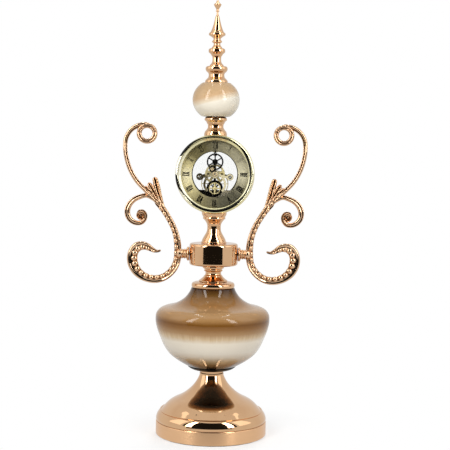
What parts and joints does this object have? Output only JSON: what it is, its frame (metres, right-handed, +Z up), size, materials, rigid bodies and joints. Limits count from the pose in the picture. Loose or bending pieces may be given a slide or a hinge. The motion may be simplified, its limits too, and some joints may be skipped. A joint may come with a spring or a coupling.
{
  "type": "ornamental skeleton table clock",
  "caption": "Tall ornamental table clock: plated foot, glazed vase, scrolled arms, round skeleton clock with open dial, ceramic ball and turned finial.",
  "frame": {"origin": "centre of the foot, on the surface that the clock stands on", "axes": "+Z up, the dial faces -Y, +X to the right of someone who reads the dial"},
  "size_m": [0.238, 0.1478, 0.5602],
  "materials": {
    "rose_gold": "mirror plated",
    "satin_rose": "satin plated",
    "yellow_gold": "mirror plated",
    "brass": "polished",
    "black_metal": "blackened, semi gloss",
    "steel": "plain",
    "vase_glaze": "high gloss, brown fading to cream",
    "ball_glaze": "high gloss, tan fading to cream",
    "dial_brass": "spun, with black numerals",
    "clear": "clear",
    "black_plastic": "satin",
    "foam": "matte foam",
    "cement": "cast, rough"
  },
  "bodies": {
    "stand": {"base_pad": "foam", "base_rim": "satin_rose", "ballast_disc": "cement", "base_washer": "steel", "base_nut": "steel", "base_bell": "rose_gold", "vase_seat": "black_plastic", "vase": "vase_glaze", "vase_cap": "rose_gold", "spool": "rose_gold", "hub": "rose_gold", "arm_spindle_right": "rose_gold", "arm_spindle_left": "rose_gold", "arm_stud_right": "steel", "arm_stud_left": "steel", "arm_right": "rose_gold", "arm_left": "rose_gold", "neck": "rose_gold", "lower_rod": "steel", "case_drum": "yellow_gold", "bezel": "yellow_gold", "front_lens": "clear", "dial_ring": "dial_brass", "front_plate": "clear", "back_plate": "clear", "plate_pillar_upper_right": "brass", "plate_pillar_upper_left": "brass", "plate_pillar_lower_right": "brass", "plate_pillar_lower_left": "brass", "bridge": "brass", "bridge_post_right": "brass", "bridge_post_left": "brass", "train_bar": "black_metal", "segment_plate": "black_metal", "back_cover": "yellow_gold", "back_lens": "clear", "battery_cell": "steel", "ball_collar": "rose_gold", "ceramic_ball": "ball_glaze", "upper_rod": "steel", "finial_base": "rose_gold", "finial_stem": "rose_gold", "finial_cup": "rose_gold", "finial_spire": "rose_gold", "finial_tip": "rose_gold"},
    "minute_work": {"minute_arbor": "steel", "minute_hand": "black_metal", "hands_nut": "rose_gold"},
    "hour_work": {"hour_hand": "black_metal"},
    "motion_work": {"motion_wheel": "brass"},
    "upper_work": {"upper_wheel": "black_metal"},
    "setting_work": {"set_stem": "brass", "set_knob": "black_plastic"},
    "seconds_work": {"seconds_drum": "black_metal", "seconds_cage": "brass"},
    "large_work": {"large_wheel": "brass"},
    "centre_work": {"centre_wheel": "brass"},
    "battery_door": {"battery_cap": "black_plastic"}
  },
  "joints": [
    {"name": "minute_turn", "type": "hinge", "parent": "stand", "child": "minute_work", "pos_m": [0, -0.012, 0.3384], "axis": [0, 1, 0], "continuous": true},
    {"name": "hour_turn", "type": "hinge", "parent": "stand", "child": "hour_work", "pos_m": [0, -0.0113, 0.3384], "axis": [0, 1, 0], "continuous": true},
    {"name": "motion_turn", "type": "hinge", "parent": "stand", "child": "motion_work", "pos_m": [-0.0033, -0.0098, 0.3451], "axis": [0, 1, 0], "continuous": true},
    {"name": "upper_turn", "type": "hinge", "parent": "stand", "child": "upper_work", "pos_m": [0, -0.0044, 0.3543], "axis": [0, 1, 0], "continuous": true},
    {"name": "knob_turn", "type": "hinge", "parent": "stand", "child": "setting_work", "pos_m": [0, 0.0199, 0.3734], "axis": [0, 1, 0], "continuous": true},
    {"name": "seconds_turn", "type": "hinge", "parent": "stand", "child": "seconds_work", "pos_m": [0, -0.0036, 0.3202], "axis": [0, 1, 0], "continuous": true},
    {"name": "large_turn", "type": "hinge", "parent": "stand", "child": "large_work", "pos_m": [0, 0.0036, 0.3259], "axis": [0, 1, 0], "continuous": true},
    {"name": "centre_turn", "type": "hinge", "parent": "stand", "child": "centre_work", "pos_m": [0, -0.001, 0.3384], "axis": [0, 1, 0], "continuous": true},
    {"name": "battery_cap_turn", "type": "hinge", "parent": "stand", "child": "battery_door", "pos_m": [0, 0.0176, 0.3008], "axis": [0, 1, 0], "range_deg": [0, 60]}
  ],
  "couplings": [
    {"joint": "hour_turn", "follows": "minute_turn", "ratio": 0.083333},
    {"joint": "motion_turn", "follows": "minute_turn", "ratio": -0.33333},
    {"joint": "upper_turn", "follows": "minute_turn", "ratio": -0.3964},
    {"joint": "knob_turn", "follows": "minute_turn", "ratio": 0.57895},
    {"joint": "large_turn", "follows": "seconds_turn", "ratio": -0.125},
    {"joint": "centre_turn", "follows": "seconds_turn", "ratio": 0.016667}
  ]
}
